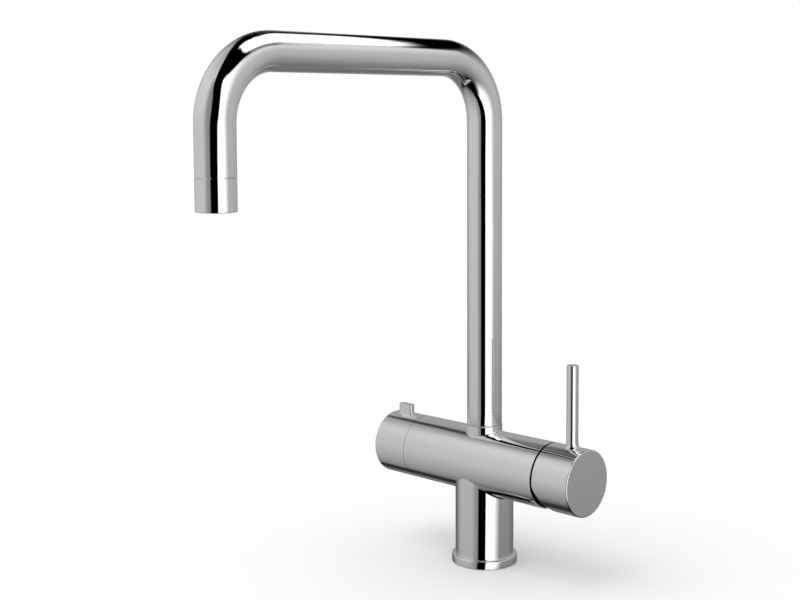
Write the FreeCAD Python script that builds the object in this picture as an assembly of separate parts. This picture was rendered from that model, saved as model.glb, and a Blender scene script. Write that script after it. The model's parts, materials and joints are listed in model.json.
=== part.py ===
import FreeCAD, Part
import math
import os
from FreeCAD import Vector

# Three way filtered water tap, millimetres.
# X runs along the barrel to the mixer knob, -Y points over the sink, +Z is up.
# The origin is on the column's axis at the deck plane.

# ---- outside sizes ----
spout_reach = 239.7
arm_height = 361.6
bend_radius = 43.5
tube_radius = 12.5
tube_wall = 1.2
outlet_drop = 94.4
outlet_height = 19.7

column_radius = 21.0
column_wall = 3.0
base_ring_flange = 2.6
base_ring_height = 6.0
base_ring_lip = 2.0
base_ring_edge = 0.6

barrel_axis_height = 73.6
barrel_radius = 23.2
barrel_left = 59.3
barrel_right = 60.2
collar_step = 0.4
collar_rise = 3.9
collar_edge = 0.3
casting_fillet = 1.5
collar_fillet = 0.8

filter_knob_length = 29.8
mixer_knob_length = 29.8
knob_edge = 1.0
tab_length = 12.8
tab_width = 5.3
tab_rise = 6.9
tab_corner = 2.0
tab_edge = 0.35
tab_from_end = 11.6

pin_from_end = 12.9
pin_radius = 4.1
pin_rise = 56.7
pin_edge = 0.5
pin_foot_flare = 1.3
pin_foot_depth = 0.9
pin_blend_height = 3.6
pin_tail_radius = 3.0
pin_tail_length = 8.0

# ---- fits and clearances ----
seam_gap = 0.3
running_gap = 0.05
thread_gap = 0.1
loose_gap = 0.3
face_gap = 0.05
seal_gap = 0.1
press_gap = 0.02
chamfer = 0.5

# ---- mixer knob, its dome and its movement ----
lever_turn_range = 45.0
lever_tilt_range = 22.0
tilt_centre_inset = 1.5
mixer_gap = 1.6
dome_inset = 2.1
dome_wall = 1.0
dome_opening_angle = 41.0
dome_skirt_wall = 1.3
knob_end_wall = 4.0
rim_clearance = 0.15
cut_middle_drop = 12.5
cut_middle_room = 0.67
cut_end_room = 4.02
cut_below_knob = 1.6

# ---- deck end: inlet block, ports and fixing stud ----
column_foot = 1.5
block_bottom = 0.5
block_top = 36.0
port_thread_radius = 4.5
port_thread_depth = 14.0
stud_thread_radius = 3.4
stud_thread_depth = 18.0
passage_radius = 3.2
block_seal_radius = 5.3
block_seal_depth = 1.4
block_screw_inset = 5.0
block_screw_radius = 2.0
block_screw_head_radius = 3.4
block_screw_head_height = 4.0
block_screw_seat = 28.0
block_screw_grip = 8.0
gasket_inset = 0.8
gasket_width = 1.6
gasket_height = 1.0

# ---- mixing cartridge on the barrel's right ----
cartridge_radius = 17.5
chamber_floor = 25.7
chamber_thread_step = 1.9
foot_plate_thickness = 5.5
seal_standoff = 0.6
foot_seal_outer = 4.6
foot_seal_inner = 3.2
foot_seal_depth = 1.6
peg_radius = 2.0
peg_inset = 3.9
peg_angle = -36.0
peg_depth = 2.0
cartridge_disc_height = 3.5
cartridge_shell = 3.1
disc_key_radius = 1.3
disc_room = 0.67
disc_pocket_depth = 2.0
carrier_plate_height = 3.0
carrier_side_cut = 3.9
carrier_round_cut = 2.6
carrier_beyond_ball = 2.6
stem_arm = 13.5
rotor_flange_height = 2.6
rotor_groove_width = 2.0
rotor_groove_depth = 1.5
guide_width = 2.4
shoulder_height = 2.5
neck_step = 3.5
neck_wall = 2.1
stop_key_width = 12.0
stop_key_depth = 1.5
nut_thread_length = 3.5
nut_hex_step = 1.0
nut_beyond_barrel = 2.0

stem_ball_radius = 3.0
stem_ball_flat = 0.3
stem_tail_radius = 2.2
stem_hub_radius = 4.2
stem_neck_radius = 4.8
stem_neck_growth = 0.4
stem_square = 7.6
stem_square_chamfer = 1.0
stem_slot_half = 4.25
pivot_pin_radius = 1.5
grub_radius = 2.5
grub_length = 8.0

# ---- quarter-turn headwork on the barrel's left, distances outward from the axis ----
filter_turn_range = 90.0
seat_floor = 21.8
seat_port_radius = 3.0
seat_seal_height = 2.5
seat_seal_inner = 6.2
cage_inner = 8.2
cage_outer = 9.3
ring_chamber_radius = 13.5
ring_chamber_length = 14.0
headwork_thread_radius = 10.4
headwork_seat_inset = 11.5
headwork_pocket_radius = 15.5
headwork_flat = 12.0
headwork_hex_height = 4.2
headwork_neck_radius = 8.5
headwork_beyond_barrel = 0.5
headwork_washer_height = 0.8
headwork_washer_radius = 13.2
ceramic_disc_height = 3.5
driver_height = 4.6
window_half = 4.2
window_length = 6.6
spindle_radius = 5.0
spindle_groove_width = 1.8
spindle_groove_depth = 1.3
spline_radius = 4.0
spline_inset = 13.0
clip_radius = 6.2
clip_height = 0.9
knob_shell = 3.0
hub_radius = 7.5
hub_gap = 1.15
rib_width = 1.8
filter_grub_inset = 5.8

# ---- swivel joint between collar and spout ----
swivel_range = 75.0
tube_shoulder = 0.7
glide_width = 1.4
glide_depth = 1.2
socket_rise = 7.0
nose_bore_radius = 4.2
nose_bore_depth = 13.5
nose_length = 7.4
nose_ring_drop = 4.5
spigot_foot_gap = 2.0
spigot_wall = 3.0
spigot_hub_radius = 4.0
spigot_hub_height = 9.0
spigot_base_height = 3.0
spigot_plug_length = 14.7
spigot_upper_ring_drop = 3.0
spigot_lower_ring_drop = 11.6
spigot_groove_half = 1.0
spigot_groove_depth = 1.6
flow_holes = 6
stop_drop = 7.2
stop_screw_radius = 2.0
stop_tip_radius = 1.4
stop_groove_depth = 1.25
stop_groove_half = 1.8

# ---- filtered water tube and outlet ----
inner_tube_radius = 3.0
inner_tube_bore = 2.0
inner_tube_seat = 0.8
outlet_thread_step = 0.9
outlet_thread_height = 8.3
outlet_ledge = 1.8
outlet_edge = 0.5
socket_ring_height = 12.0
aerator_step = 1.6
aerator_recess = 1.2
aerator_height = 11.8
aerator_floor = 4.0
washer_height = 1.5
washer_width = 2.1
nipple_wall_radius = 3.4
nipple_length = 9.0
nipple_overlap = 5.5
centre_jet_radius = 1.2
cell_size = 1.0
cell_pitch = 2.5

# ---- water ways in the casting and the cartridge, (y, z) from the barrel's axis ----
side_inlet = (8.0, 1.0)
side_inlet_disc = (5.2, 3.6)
side_inlet_disc_end = (4.0, 4.0)
side_inlet_radius = 2.9
disc_inlet_radius = 2.3
mixed_outlet = (0.0, -9.0)
mixed_outlet_disc = (0.0, -5.2)
mixed_outlet_half_width = 1.5
mixed_outlet_radius = 2.8
mixed_riser_radius = 2.6
riser_wall = 1.5
filter_inlet_level = -9.8
filter_outlet_level = -2.5
filter_way_radius = 2.8
pocket_corners = [(-4.2, -3.6), (4.2, -3.6), (0.0, -7.3)]
pocket_slot_radius = 2.6
port_angles = (-60.0, 60.0, 180.0)
block_screw_angles = (0.0, 120.0, 240.0)

full_turn = 360.0
X = Vector(1, 0, 0)
Y = Vector(0, 1, 0)
Z = Vector(0, 0, 1)

# ---- sizes and places that follow from those above ----
base_ring_radius = column_radius + base_ring_flange
lip_radius = column_radius - base_ring_lip
gasket_outer = base_ring_radius - gasket_inset
gasket_inner = gasket_outer - gasket_width
cavity_radius = column_radius - column_wall
port_circle = (stud_thread_radius + cavity_radius) / 2
block_screw_circle = cavity_radius - block_screw_inset
block_seal_section = block_seal_depth / 2

collar_radius = tube_radius + collar_step
collar_top = barrel_axis_height + barrel_radius + collar_rise
spout_start = collar_top + seam_gap
socket_radius = tube_radius - tube_wall - tube_shoulder
socket_floor = barrel_axis_height + socket_rise
glide_recess_radius = socket_radius + glide_width
nose_bore_floor = socket_floor - nose_bore_depth
spigot_start = socket_floor + spigot_foot_gap
spigot_radius = socket_radius - running_gap
spigot_top = spout_start + spigot_plug_length
spigot_bore_radius = socket_radius - spigot_wall
spigot_bore_floor = spigot_start + spigot_base_height
spigot_ring_levels = (collar_top - spigot_upper_ring_drop, collar_top - spigot_lower_ring_drop)
spigot_ring_section = (spigot_groove_depth - seal_gap) / 2
nose_radius = nose_bore_radius - seal_gap
nose_end = spigot_start - nose_length
nose_ring_level = spigot_start - nose_ring_drop
nose_ring_section = 0.55
nose_groove_half = 0.8
nose_groove_depth = 1.2
stop_height = collar_top - stop_drop
plug_radius = tube_radius - tube_wall - running_gap
flow_hole_circle = (spigot_hub_radius + spigot_bore_radius) / 2
flow_hole_radius = (spigot_bore_radius - spigot_hub_radius) / 2 - seal_gap
mixed_riser_x = nose_bore_radius + riser_wall + mixed_riser_radius

outlet_bottom = arm_height - outlet_drop
outlet_top = outlet_bottom + outlet_height
outlet_thread_radius = tube_radius - tube_wall - outlet_thread_step
aerator_radius = tube_radius - aerator_step
aerator_bottom = outlet_bottom + aerator_recess
aerator_top = aerator_bottom + aerator_height
aerator_shoulder = aerator_top + washer_height
washer_inner = aerator_radius - washer_width
nipple_top = aerator_top + nipple_length
inner_tube_start = spigot_bore_floor - inner_tube_seat
inner_tube_end = nipple_top - nipple_overlap

tilt_centre = barrel_right - tilt_centre_inset
dome_radius = barrel_radius - dome_inset
knob_rim = barrel_right + mixer_gap
mixer_knob_end = knob_rim + mixer_knob_length
stem_end = mixer_knob_end - knob_end_wall
neck_end = tilt_centre + dome_radius - 2 * seam_gap
mixer_grub_place = (neck_end + stem_end) / 2
pin_centre = mixer_knob_end - pin_from_end
pin_spot_level = barrel_axis_height + barrel_radius - pin_foot_depth
pin_top = barrel_axis_height + barrel_radius + pin_rise
pin_foot_radius = pin_radius + pin_foot_flare

cartridge_base_top = chamber_floor + foot_plate_thickness
fixed_disc_top = cartridge_base_top + cartridge_disc_height
moving_disc_start = fixed_disc_top + face_gap
moving_disc_end = moving_disc_start + cartridge_disc_height
carrier_plate_end = moving_disc_end + carrier_plate_height
disc_travel = stem_arm * math.sin(math.radians(lever_tilt_range))
disc_rest = -disc_travel / 2
stem_ball_x = tilt_centre - stem_arm
carrier_top = stem_ball_x + carrier_beyond_ball
cage_radius = cartridge_radius - cartridge_shell
fixed_disc_radius = cage_radius - 2 * seal_gap
moving_disc_radius = cage_radius - disc_travel / 2 - disc_room
carrier_half_width = moving_disc_radius - carrier_side_cut
carrier_round = moving_disc_radius - carrier_round_cut
rotor_flange_radius = cage_radius - loose_gap
rotor_flange_start = carrier_top + 2 * seal_gap
rotor_flange_end = rotor_flange_start + rotor_flange_height
housing_inner_end = rotor_flange_end + seal_gap
housing_shoulder = housing_inner_end + shoulder_height
housing_neck_radius = cartridge_radius - neck_step
rotor_radius = housing_neck_radius - neck_wall - running_gap
rotor_groove_start = housing_shoulder + 0.6
chamber_thread_radius = cartridge_radius + chamber_thread_step
chamber_thread_start = housing_shoulder - 1.0
nut_thread_end = housing_shoulder + nut_thread_length
nut_hex_flat = housing_neck_radius + nut_hex_step
nut_hex_end = barrel_right + nut_beyond_barrel
housing_neck_end = nut_hex_end + 1.0
rotor_end = housing_neck_end + 0.5
peg_circle = cartridge_radius - peg_inset
stop_key_inner = cage_radius - stop_key_depth

filter_knob_start = barrel_left + seam_gap
filter_knob_end = filter_knob_start + filter_knob_length
tab_centre = filter_knob_end - tab_from_end
cage_start = seat_floor + seat_seal_height
ring_chamber_end = seat_floor + ring_chamber_length
headwork_seat = barrel_left - headwork_seat_inset
hex_start = headwork_seat + headwork_washer_height
hex_end = hex_start + headwork_hex_height
headwork_neck_end = barrel_left + headwork_beyond_barrel
disc_split = cage_start + ceramic_disc_height
turning_disc_start = disc_split + face_gap
turning_disc_end = turning_disc_start + ceramic_disc_height
turning_disc_radius = cage_inner - seal_gap - 0.15
headwork_bore_end = turning_disc_end + driver_height + 0.15
spindle_ring_place = headwork_seat - 1.0
clip_start = headwork_neck_end + 0.15
clip_end = clip_start + clip_height
spline_end = filter_knob_end - spline_inset
hub_start = clip_end + hub_gap
filter_grub_place = hub_start + filter_grub_inset

barrel_centre = Vector(0, 0, barrel_axis_height)
tilt_point = Vector(tilt_centre, 0, barrel_axis_height)


# ---- shape helpers ----
def turned_z(profile, x=0.0, y=0.0):
    """A solid turned about an upright axis from (radius, height) corners."""
    corners = [Vector(x + r, y, z) for r, z in profile]
    face = Part.Face(Part.makePolygon(corners + corners[:1]))
    return face.revolve(Vector(x, y, 0), Z, full_turn)


def turned_x(profile):
    """A solid turned about the barrel's axis from (radius, x) corners."""
    corners = [Vector(x, 0, barrel_axis_height + r) for r, x in profile]
    face = Part.Face(Part.makePolygon(corners + corners[:1]))
    return face.revolve(barrel_centre, X, full_turn)


def turned_left(profile):
    """As turned_x, with distances counted outward to the left."""
    return turned_x([(r, -u) for r, u in profile])


def rod(radius, start, end):
    """A round rod between two points."""
    way = end - start
    return Part.makeCylinder(radius, way.Length, start, way)


def rod_x(radius, x0, x1, y=0.0, z=0.0):
    """A round rod along the barrel, placed from the barrel's axis."""
    start = Vector(x0, y, barrel_axis_height + z)
    return rod(radius, start, Vector(x1, y, barrel_axis_height + z))


def rod_z(radius, z0, z1, x=0.0, y=0.0):
    """An upright round rod."""
    return rod(radius, Vector(x, y, z0), Vector(x, y, z1))


def box_between(low, high):
    """A block between two opposite corners."""
    size = high - low
    return Part.makeBox(size.x, size.y, size.z, low)


def block_x(x0, x1, y0, y1, z0, z1):
    """A block placed from the barrel's axis."""
    low = Vector(x0, y0, barrel_axis_height + z0)
    return box_between(low, Vector(x1, y1, barrel_axis_height + z1))


def slot_x(radius, x0, x1, first, second):
    """A straight slot along the barrel between two (y, z) centres."""
    ends = [rod_x(radius, x0, x1, *place) for place in (first, second)]
    along = Vector(0, second[0] - first[0], second[1] - first[1])
    across = X.cross(along).normalize() * radius
    a = Vector(x0, first[0], barrel_axis_height + first[1])
    b = Vector(x0, second[0], barrel_axis_height + second[1])
    sheet = Part.makePolygon([a - across, b - across, b + across, a + across, a - across])
    middle = Part.Face(sheet).extrude(X * (x1 - x0))
    return ends[0].fuse([ends[1], middle]).removeSplitter()


def polygon_z(flat_radius, sides, z0, z1, x=0.0, y=0.0):
    """An upright prism with this distance from its axis to each flat."""
    corner = flat_radius / math.cos(math.pi / sides)
    points = []
    for i in range(sides):
        turn = 2 * math.pi * i / sides
        points.append(Vector(x + corner * math.cos(turn), y + corner * math.sin(turn), z0))
    face = Part.Face(Part.makePolygon(points + points[:1]))
    return face.extrude(Z * (z1 - z0))


def polygon_x(flat_radius, sides, x0, x1):
    """The same prism laid along the barrel's axis."""
    shape = polygon_z(flat_radius, sides, x0, x1)
    shape.rotate(Vector(0, 0, 0), Y, 90)
    shape.translate(barrel_centre)
    return shape


def ring_section(section, middle, level):
    """Eight-sided outline that stands for a rubber ring's round section."""
    corner = section * math.tan(math.radians(22.5))
    steps = [(section, -corner), (section, corner), (corner, section), (-corner, section)]
    steps += [(-r, -h) for r, h in steps]
    return [(middle + r, level + h) for r, h in steps]


def ring_z(section, middle, level, x=0.0, y=0.0):
    """A rubber ring lying flat."""
    return turned_z(ring_section(section, middle, level), x, y)


def ring_x(section, middle, level):
    """A rubber ring about the barrel's axis."""
    return turned_x(ring_section(section, middle, level))


def groove_z(radius, level, half_height, depth):
    """What a ring groove takes from an upright round of this radius."""
    return turned_z([
        (radius - depth, level - half_height),
        (radius + 1, level - half_height),
        (radius + 1, level + half_height),
        (radius - depth, level + half_height),
    ])


def sector_x(outer, inner, x0, x1, from_angle, to_angle):
    """Part of a thick ring about the barrel, angles from +Y towards +Z."""
    y0 = Vector(x0, inner, barrel_axis_height)
    y1 = Vector(x0, outer, barrel_axis_height)
    corners = [y0, y1, y1 + X * (x1 - x0), y0 + X * (x1 - x0)]
    face = Part.Face(Part.makePolygon(corners + corners[:1]))
    face.rotate(barrel_centre, X, from_angle)
    return face.revolve(barrel_centre, X, to_angle - from_angle)


def edges_where(shape, test):
    """The edges whose middle and both quarter points pass a test."""
    found = []
    for edge in shape.Edges:
        first, last = edge.ParameterRange
        spots = [edge.valueAt(first + (last - first) * part) for part in (0.25, 0.5, 0.75)]
        if all(test(spot) for spot in spots):
            found.append(edge)
    return found


def near(value, target):
    return abs(value - target) < 0.01


def round_of(point):
    """Distance from the barrel's axis."""
    return math.hypot(point.y, point.z - barrel_axis_height)


def upright_round_of(point):
    """Distance from the column's axis."""
    return math.hypot(point.x, point.y)


def on_circle(radius, degrees):
    turn = math.radians(degrees)
    return radius * math.cos(turn), radius * math.sin(turn)


port_places = [on_circle(port_circle, turn) for turn in port_angles]
block_screw_places = [on_circle(block_screw_circle, turn) for turn in block_screw_angles]
peg_spot = on_circle(peg_circle, peg_angle)
peg_places = [(-peg_spot[0], peg_spot[1]), peg_spot]
foot_seal_places = [(-side_inlet[0], side_inlet[1]), side_inlet, mixed_outlet]


# ---- the fixed body ----
def casting_outside():
    """Column, barrel and collar as one form with its blended corners."""
    column = rod_z(column_radius, column_foot, barrel_axis_height)
    barrel = rod_x(barrel_radius, -barrel_left, barrel_right)
    collar = rod_z(collar_radius, barrel_axis_height, collar_top)
    body = column.fuse([barrel, collar]).removeSplitter()

    def under_barrel(p):
        return near(round_of(p), barrel_radius) and near(upright_round_of(p), column_radius)

    def over_barrel(p):
        return near(round_of(p), barrel_radius) and near(upright_round_of(p), collar_radius)

    body = body.makeFillet(casting_fillet, edges_where(body, under_barrel))
    body = body.makeFillet(collar_fillet, edges_where(body, over_barrel))
    rim = edges_where(body, lambda p: near(p.z, collar_top))
    return body.makeFillet(collar_edge, rim)


def cartridge_chamber():
    """Room for the cartridge, with the thread for its nut and cover."""
    bore = cartridge_radius + seal_gap
    return turned_x([
        (0, chamber_floor),
        (bore, chamber_floor),
        (bore, chamber_thread_start),
        (chamber_thread_radius, chamber_thread_start),
        (chamber_thread_radius, barrel_right - chamfer),
        (chamber_thread_radius + chamfer, barrel_right),
        (0, barrel_right),
    ])


def headwork_chamber():
    """Ring chamber, thread and pocket for the quarter-turn headwork."""
    cone_height = ring_chamber_radius - headwork_thread_radius
    return turned_left([
        (0, seat_floor),
        (ring_chamber_radius, seat_floor),
        (ring_chamber_radius, ring_chamber_end),
        (headwork_thread_radius, ring_chamber_end + cone_height),
        (headwork_thread_radius, headwork_seat),
        (headwork_pocket_radius, headwork_seat),
        (headwork_pocket_radius, barrel_left),
        (0, barrel_left),
    ])


def spout_socket():
    """Bore for the spout's spigot, its nose and the glide ring."""
    return turned_z([
        (0, nose_bore_floor),
        (nose_bore_radius, nose_bore_floor),
        (nose_bore_radius, socket_floor),
        (socket_radius, socket_floor),
        (socket_radius, collar_top - glide_depth),
        (glide_recess_radius, collar_top - glide_depth),
        (glide_recess_radius, collar_top),
        (0, collar_top),
    ])


def water_passages():
    """Hot, cold and filtered ways up the column, and the two ways to the spout."""
    holes = []
    inlet_level = barrel_axis_height + side_inlet[1]
    for place in port_places[:2]:
        side = math.copysign(1.0, place[1])
        holes.append(rod_z(passage_radius, block_top, inlet_level, *place))
        way = (side * side_inlet[0], side_inlet[1])
        holes.append(rod_x(side_inlet_radius, place[0], chamber_floor, *way))
    filter_x, filter_y = port_places[2]
    filter_level = barrel_axis_height + filter_inlet_level
    holes.append(rod_z(passage_radius, block_top, filter_level, filter_x, filter_y))
    holes.append(rod_x(seat_port_radius, -seat_floor, filter_x, 0, filter_inlet_level))
    holes.append(rod_x(filter_way_radius, -seat_floor, 0, 0, filter_outlet_level))
    holes.append(rod_x(side_inlet_radius, mixed_riser_x, chamber_floor, *mixed_outlet))
    riser_foot = barrel_axis_height + mixed_outlet[1]
    holes.append(rod_z(mixed_riser_radius, riser_foot, socket_floor, mixed_riser_x))
    return holes


def body_casting():
    cavity = rod_z(cavity_radius, 0, block_top)
    cuts = [cavity, cartridge_chamber(), headwork_chamber(), spout_socket()]
    cuts += water_passages()
    screw_hole_end = block_top + block_screw_grip + block_screw_radius
    for place in block_screw_places:
        cuts.append(rod_z(block_screw_radius, block_top, screw_hole_end, *place))
    peg_hole_start = chamber_floor - peg_depth - 2 * seal_gap
    for place in peg_places:
        cuts.append(rod_x(peg_radius + seal_gap, peg_hole_start, chamber_floor, *place))
    cuts.append(rod(
        stop_screw_radius + running_gap,
        Vector(0, socket_radius - 1, stop_height),
        Vector(0, collar_radius + 1, stop_height),
    ))
    return casting_outside().cut(cuts)


def base_ring():
    ring_bore = column_radius + running_gap
    ring = turned_z([
        (lip_radius, 0),
        (base_ring_radius, 0),
        (base_ring_radius, base_ring_height),
        (ring_bore, base_ring_height),
        (ring_bore, column_foot),
        (lip_radius, column_foot),
    ])
    edge = edges_where(
        ring,
        lambda p: near(upright_round_of(p), base_ring_radius) and near(p.z, base_ring_height),
    )
    ring = ring.makeFillet(base_ring_edge, edge)
    groove = turned_z([
        (gasket_inner, 0),
        (gasket_outer, 0),
        (gasket_outer, gasket_height),
        (gasket_inner, gasket_height),
    ])
    return ring.cut(groove)


def base_gasket():
    return turned_z([
        (gasket_inner + seal_gap, 0),
        (gasket_outer - seal_gap, 0),
        (gasket_outer - seal_gap, gasket_height),
        (gasket_inner + seal_gap, gasket_height),
    ])


def inlet_block():
    """Brass block that carries the three threaded ports and the stud thread."""
    block = rod_z(cavity_radius - running_gap, block_bottom, block_top)
    lower_edge = edges_where(block, lambda p: near(p.z, block_bottom))
    block = block.makeChamfer(chamfer, lower_edge)
    cuts = []
    for place in port_places:
        cuts.append(rod_z(port_thread_radius, 0, block_bottom + port_thread_depth, *place))
        cuts.append(rod_z(passage_radius, block_bottom, block_top, *place))
        cuts.append(rod_z(block_seal_radius, block_top - block_seal_depth, block_top, *place))
    cuts.append(rod_z(stud_thread_radius, 0, block_bottom + stud_thread_depth))
    head_room = block_screw_head_radius + 2 * seal_gap
    for place in block_screw_places:
        cuts.append(rod_z(head_room, 0, block_screw_seat, *place))
        cuts.append(rod_z(block_screw_radius + seal_gap, 0, block_top, *place))
    return block.cut(cuts)


def inlet_block_seals():
    middle = (block_seal_radius + passage_radius) / 2
    level = block_top - block_seal_section
    return [ring_z(block_seal_section, middle, level, *place) for place in port_places]


def socket_screw(shank_radius, head_radius, head_height, grip):
    """A cap screw standing head down, with the head's top face at z = 0."""
    key_size = shank_radius * 0.72
    key_depth = head_height * 0.6
    shank = rod_z(shank_radius, head_height, head_height + grip)
    head = rod_z(head_radius, 0, head_height)
    return shank.fuse(head).removeSplitter().cut(polygon_z(key_size, 6, 0, key_depth))


def inlet_block_screws():
    shank = block_screw_radius - running_gap
    grip = block_top + block_screw_grip - block_screw_seat
    screws = []
    for place in block_screw_places:
        screw = socket_screw(shank, block_screw_head_radius, block_screw_head_height, grip)
        screw.translate(Vector(place[0], place[1], block_screw_seat - block_screw_head_height))
        screws.append(screw)
    return screws


# ---- the mixing cartridge ----
def cartridge_ports(x0, x1, inlet, outlet):
    """Two inlets, mirrored, and one outlet, each a slot given by its two ends."""
    ports = []
    for side in (-1, 1):
        first, second = [(side * y, z) for y, z in inlet]
        ports.append(slot_x(disc_inlet_radius, x0, x1, first, second))
    ports.append(slot_x(mixed_outlet_radius, x0, x1, *outlet))
    return ports


def cartridge_base():
    """Foot plate with its two locating pegs and the pockets for the three seals."""
    start = chamber_floor + seal_standoff
    plate = rod_x(cartridge_radius - running_gap, start, cartridge_base_top)
    pegs = [rod_x(peg_radius, chamber_floor - peg_depth, start + 1.0, *spot) for spot in peg_places]
    plate = plate.fuse(pegs).removeSplitter()
    inlet = (side_inlet, side_inlet_disc)
    outlet = (mixed_outlet, mixed_outlet_disc)
    ports = cartridge_ports(start, cartridge_base_top, inlet, outlet)
    pocket_end = start + foot_seal_depth
    pocket_radius = foot_seal_outer + seal_gap
    pockets = [rod_x(pocket_radius, start, pocket_end, *spot) for spot in foot_seal_places]
    return plate.cut(ports + pockets)


def cartridge_seals():
    """Three rubber rings that stand proud of the cartridge's foot."""
    end = chamber_floor + seal_standoff + foot_seal_depth
    seals = []
    for place in foot_seal_places:
        ring = rod_x(foot_seal_outer, chamber_floor, end, *place)
        seals.append(ring.cut(rod_x(foot_seal_inner, chamber_floor, end, *place)))
    return seals


def fixed_disc():
    disc = rod_x(fixed_disc_radius, cartridge_base_top, fixed_disc_top)
    level = mixed_outlet_disc[1]
    inlet = (side_inlet_disc, side_inlet_disc_end)
    outlet = ((-mixed_outlet_half_width, level), (mixed_outlet_half_width, level))
    cuts = cartridge_ports(cartridge_base_top, fixed_disc_top, inlet, outlet)
    for side in (-1, 1):
        notch = disc_key_radius + seal_gap
        spot = (side * fixed_disc_radius, 0)
        cuts.append(rod_x(notch, cartridge_base_top, fixed_disc_top, *spot))
    return disc.cut(cuts)


def cartridge_housing():
    """The cartridge's plastic shell: skirt, shoulder and neck, with keys and a turn stop."""
    outer = cartridge_radius - running_gap
    neck_bore = rotor_radius + running_gap
    shell = turned_x([
        (cage_radius, cartridge_base_top),
        (outer, cartridge_base_top),
        (outer, housing_shoulder),
        (housing_neck_radius, housing_shoulder),
        (housing_neck_radius, housing_neck_end),
        (neck_bore, housing_neck_end),
        (neck_bore, housing_inner_end),
        (cage_radius, housing_inner_end),
    ])
    key_end = fixed_disc_top - loose_gap
    extras = []
    for side in (-1, 1):
        spot = (side * fixed_disc_radius, 0)
        extras.append(rod_x(disc_key_radius, cartridge_base_top, key_end, *spot))
    middle = 270.0
    extras.append(sector_x(
        cage_radius + chamfer, stop_key_inner, rotor_flange_start - 0.4, housing_inner_end + chamfer,
        middle - stop_key_width / 2, middle + stop_key_width / 2,
    ))
    return shell.fuse(extras).removeSplitter()


def cartridge_nut():
    """Clamp ring that screws in over the cartridge's shoulder."""
    thread = rod_x(chamber_thread_radius - thread_gap, housing_shoulder, nut_thread_end)
    hexagon = polygon_x(nut_hex_flat, 6, nut_thread_end, nut_hex_end)
    bore = rod_x(housing_neck_radius + seam_gap, housing_shoulder, nut_hex_end)
    return thread.fuse(hexagon).removeSplitter().cut(bore)


def dome_shroud():
    """Chromed ball-shaped cover between barrel and mixer knob, screwed into the barrel."""
    ball = Part.makeSphere(dome_radius, tilt_point)
    inside = Part.makeSphere(dome_radius - dome_wall, tilt_point)
    band_end = tilt_centre + dome_radius * math.cos(math.radians(dome_opening_angle))
    floor_end = barrel_right + dome_wall
    skirt_radius = chamber_thread_radius - thread_gap
    bore_radius = chamber_thread_radius - dome_skirt_wall
    dome = ball.common(rod_x(dome_radius + 1, barrel_right, band_end))
    skirt = rod_x(skirt_radius, nut_thread_end + face_gap, floor_end)
    bore = rod_x(bore_radius, nut_thread_end, floor_end)
    hollow = inside.common(rod_x(dome_radius, floor_end, band_end + 1))
    return dome.fuse(skirt).cut([bore, hollow]).removeSplitter()


# ---- what turns and tilts with the mixer lever ----
def swung_depth(reach, radius):
    """How far below the axis a stem of this radius comes at this distance, at full tilt."""
    turn = math.radians(lever_tilt_range)
    along = (reach + radius * math.sin(turn)) / math.cos(turn)
    return along * math.sin(turn) + radius * math.cos(turn)


def cartridge_rotor():
    """The turning part: drum, flange and two guides that lead the disc carrier."""
    drum = rod_x(rotor_radius, rotor_flange_end, rotor_end)
    flange = rod_x(rotor_flange_radius, rotor_flange_start, rotor_flange_end)
    guide_start = carrier_plate_end + 2 * seal_gap
    guide_inner = carrier_half_width + seal_gap
    guide_outer = guide_inner + guide_width
    guide_half = carrier_round - 0.6
    guide_end = rotor_flange_start + chamfer
    guide_room = rod_x(rotor_flange_radius - chamfer, guide_start, guide_end)
    guides = []
    for side in (-1, 1):
        y0, y1 = sorted((side * guide_inner, side * guide_outer))
        guide = block_x(guide_start, guide_end, y0, y1, -guide_half, guide_half)
        guides.append(guide.common(guide_room))
    rotor = drum.fuse([flange] + guides).removeSplitter()
    half = stem_slot_half
    tail_swing = disc_travel + stem_ball_radius + chamfer
    tail_room = stem_hub_radius + 0.4
    neck_swing = swung_depth(rotor_end - tilt_centre, stem_neck_radius) + 0.8
    neck_room = stem_neck_radius + 0.4
    inner_slot = block_x(rotor_flange_start - 1, tilt_centre, -half, half, -tail_room, tail_swing)
    outer_slot = block_x(tilt_centre - 1, rotor_end + 1, -half, half, -neck_swing, neck_room)
    bearing_end = Y * (rotor_radius + 1)
    bearing = rod(pivot_pin_radius + press_gap, tilt_point - bearing_end, tilt_point + bearing_end)
    reach = lever_turn_range + stop_key_width / 2 + 1.0
    stop_room = sector_x(
        rotor_flange_radius + 1, stop_key_inner - seam_gap, rotor_flange_start - 1,
        rotor_flange_end + face_gap, 270.0 - reach, 270.0 + reach,
    )
    groove_end = rotor_groove_start + rotor_groove_width
    groove = turned_x([
        (rotor_radius - rotor_groove_depth, rotor_groove_start),
        (rotor_radius + 1, rotor_groove_start),
        (rotor_radius + 1, groove_end),
        (rotor_radius - rotor_groove_depth, groove_end),
    ])
    return rotor.cut([inner_slot, outer_slot, bearing, stop_room, groove])


def rotor_ring():
    section = (rotor_groove_depth - seal_gap) / 2
    middle = rotor_radius - rotor_groove_depth / 2
    return ring_x(section, middle, rotor_groove_start + rotor_groove_width / 2)


def pivot_pin():
    half = Y * (rotor_radius - 1.0)
    return rod(pivot_pin_radius, tilt_point - half, tilt_point + half)


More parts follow.
